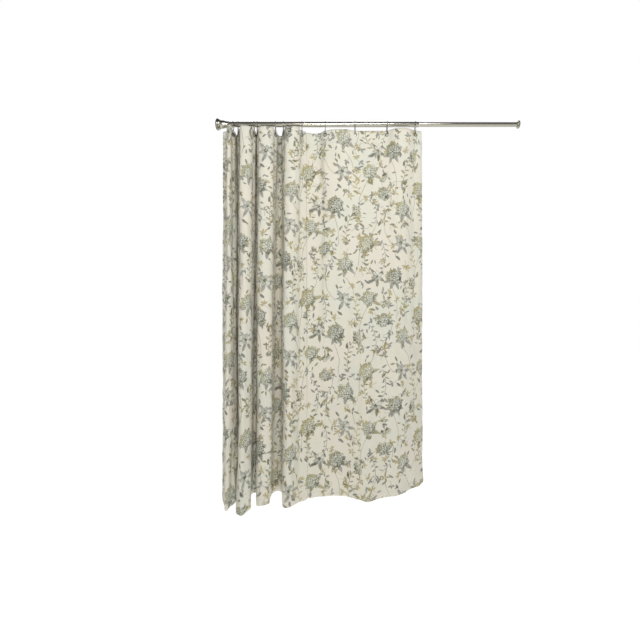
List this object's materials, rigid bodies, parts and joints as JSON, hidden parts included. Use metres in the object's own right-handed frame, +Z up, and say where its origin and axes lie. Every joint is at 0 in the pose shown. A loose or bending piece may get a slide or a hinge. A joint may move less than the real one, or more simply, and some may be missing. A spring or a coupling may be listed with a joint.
{
  "type": "shower curtain",
  "caption": "Fabric shower curtain with a botanical print, hung by wire hooks through metal grommets from a telescopic spring-loaded tension rod.",
  "frame": {"origin": "centre of the left foot's wall face, on the rod's axis", "axes": "+X along the rod from the left wall to the right wall, +Z up (the curtain hangs along -Z), -Y towards the room side that shows the print"},
  "size_m": [1.524, 0.2177, 1.9442],
  "materials": {
    "satin_nickel": "satin",
    "hook_steel": "polished",
    "grommet_nickel": "gloss",
    "stem_steel": "satin",
    "spring_steel": "gloss",
    "pad_rubber": "matte",
    "white_plastic": "satin",
    "cloth": "matte"
  },
  "bodies": {
    "left_foot": {"left_wall_pad": "pad_rubber", "left_end_flange": "satin_nickel", "foot_stem": "stem_steel", "stem_washer": "stem_steel", "tension_spring": "spring_steel"},
    "rod_base": {"left_collar": "satin_nickel"},
    "outer_tube_body": {"outer_tube": "satin_nickel", "tube_plug": "white_plastic", "guide_bush": "white_plastic"},
    "inner_tube_body": {"inner_tube": "satin_nickel", "lock_core": "white_plastic", "lock_cam": "white_plastic", "cam_washer": "stem_steel", "right_tube_plug": "white_plastic", "right_end_flange": "satin_nickel", "right_wall_pad": "pad_rubber"},
    "hanging_curtain": {"curtain_pleats": "cloth", "curtain_hook_01": "hook_steel", "grommet_eyelet_01": "grommet_nickel", "grommet_washer_01": "grommet_nickel"},
    "hook_02_set": {"curtain_hook_02": "hook_steel", "grommet_eyelet_02": "grommet_nickel", "grommet_washer_02": "grommet_nickel"},
    "hook_03_set": {"curtain_hook_03": "hook_steel", "grommet_eyelet_03": "grommet_nickel", "grommet_washer_03": "grommet_nickel"},
    "hook_04_set": {"curtain_hook_04": "hook_steel", "grommet_eyelet_04": "grommet_nickel", "grommet_washer_04": "grommet_nickel"},
    "hook_05_set": {"curtain_hook_05": "hook_steel", "grommet_eyelet_05": "grommet_nickel", "grommet_washer_05": "grommet_nickel"},
    "hook_06_set": {"curtain_hook_06": "hook_steel", "grommet_eyelet_06": "grommet_nickel", "grommet_washer_06": "grommet_nickel"},
    "hook_07_set": {"curtain_hook_07": "hook_steel", "grommet_eyelet_07": "grommet_nickel", "grommet_washer_07": "grommet_nickel"},
    "plain_panel": {"curtain_hook_08": "hook_steel", "grommet_eyelet_08": "grommet_nickel", "grommet_washer_08": "grommet_nickel", "curtain_panel": "cloth"},
    "hook_09_set": {"curtain_hook_09": "hook_steel", "grommet_eyelet_09": "grommet_nickel", "grommet_washer_09": "grommet_nickel"},
    "hook_10_set": {"curtain_hook_10": "hook_steel", "grommet_eyelet_10": "grommet_nickel", "grommet_washer_10": "grommet_nickel"},
    "hook_11_set": {"curtain_hook_11": "hook_steel", "grommet_eyelet_11": "grommet_nickel", "grommet_washer_11": "grommet_nickel"},
    "hook_12_set": {"curtain_hook_12": "hook_steel", "grommet_eyelet_12": "grommet_nickel", "grommet_washer_12": "grommet_nickel"}
  },
  "joints": [
    {"name": "foot_spring", "type": "slide", "parent": "left_foot", "child": "rod_base", "axis": [1, 0, 0], "range_m": [-0.007, 0.0035], "stiffness_N_per_m": 2500, "deforming": ["tension_spring"]},
    {"name": "tube_twist", "type": "hinge", "parent": "rod_base", "child": "outer_tube_body", "pos_m": [0, 0, 0], "axis": [1, 0, 0], "range_deg": [-180, 0]},
    {"name": "rod_length", "type": "slide", "parent": "rod_base", "child": "inner_tube_body", "axis": [1, 0, 0], "range_m": [-0.48, 0.28]},
    {"name": "curtain_swing", "type": "hinge", "parent": "rod_base", "child": "hanging_curtain", "pos_m": [0, 0, 0], "axis": [1, 0, 0], "range_deg": [-20, 20]},
    {"name": "hook_02_slide", "type": "slide", "parent": "hanging_curtain", "child": "hook_02_set", "axis": [1, 0, 0], "range_m": [-0.001, 0.0064]},
    {"name": "hook_03_slide", "type": "slide", "parent": "hanging_curtain", "child": "hook_03_set", "axis": [1, 0, 0], "range_m": [-0.001, 0.0221]},
    {"name": "hook_04_slide", "type": "slide", "parent": "hanging_curtain", "child": "hook_04_set", "axis": [1, 0, 0], "range_m": [-0.001, 0.1258]},
    {"name": "hook_05_slide", "type": "slide", "parent": "hanging_curtain", "child": "hook_05_set", "axis": [1, 0, 0], "range_m": [-0.001, 0.153]},
    {"name": "hook_06_slide", "type": "slide", "parent": "hanging_curtain", "child": "hook_06_set", "axis": [1, 0, 0], "range_m": [-0.001, 0.3182]},
    {"name": "hook_07_slide", "type": "slide", "parent": "hanging_curtain", "child": "hook_07_set", "axis": [1, 0, 0], "range_m": [-0.001, 0.3789]},
    {"name": "curtain_draw", "type": "slide", "parent": "hanging_curtain", "child": "plain_panel", "axis": [1, 0, 0], "range_m": [0, 0.45], "deforming": ["curtain_pleats"]},
    {"name": "hook_09_slide", "type": "slide", "parent": "plain_panel", "child": "hook_09_set", "axis": [1, 0, 0], "range_m": [-0.0725, 0.001]},
    {"name": "hook_10_slide", "type": "slide", "parent": "plain_panel", "child": "hook_10_set", "axis": [1, 0, 0], "range_m": [-0.1849, 0.001]},
    {"name": "hook_11_slide", "type": "slide", "parent": "plain_panel", "child": "hook_11_set", "axis": [1, 0, 0], "range_m": [-0.3056, 0.001]},
    {"name": "panel_gather", "type": "slide", "parent": "plain_panel", "child": "hook_12_set", "axis": [1, 0, 0], "range_m": [-0.41, 0], "deforming": ["curtain_panel"]}
  ],
  "couplings": [
    {"joint": "hook_02_slide", "follows": "curtain_draw", "ratio": 0.00984},
    {"joint": "hook_03_slide", "follows": "curtain_draw", "ratio": 0.04477},
    {"joint": "hook_04_slide", "follows": "curtain_draw", "ratio": 0.2751},
    {"joint": "hook_05_slide", "follows": "curtain_draw", "ratio": 0.33565},
    {"joint": "hook_06_slide", "follows": "curtain_draw", "ratio": 0.70256},
    {"joint": "hook_07_slide", "follows": "curtain_draw", "ratio": 0.83759},
    {"joint": "hook_09_slide", "follows": "panel_gather", "ratio": 0.17185},
    {"joint": "hook_10_slide", "follows": "panel_gather", "ratio": 0.44607},
    {"joint": "hook_11_slide", "follows": "panel_gather", "ratio": 0.7404}
  ]
}
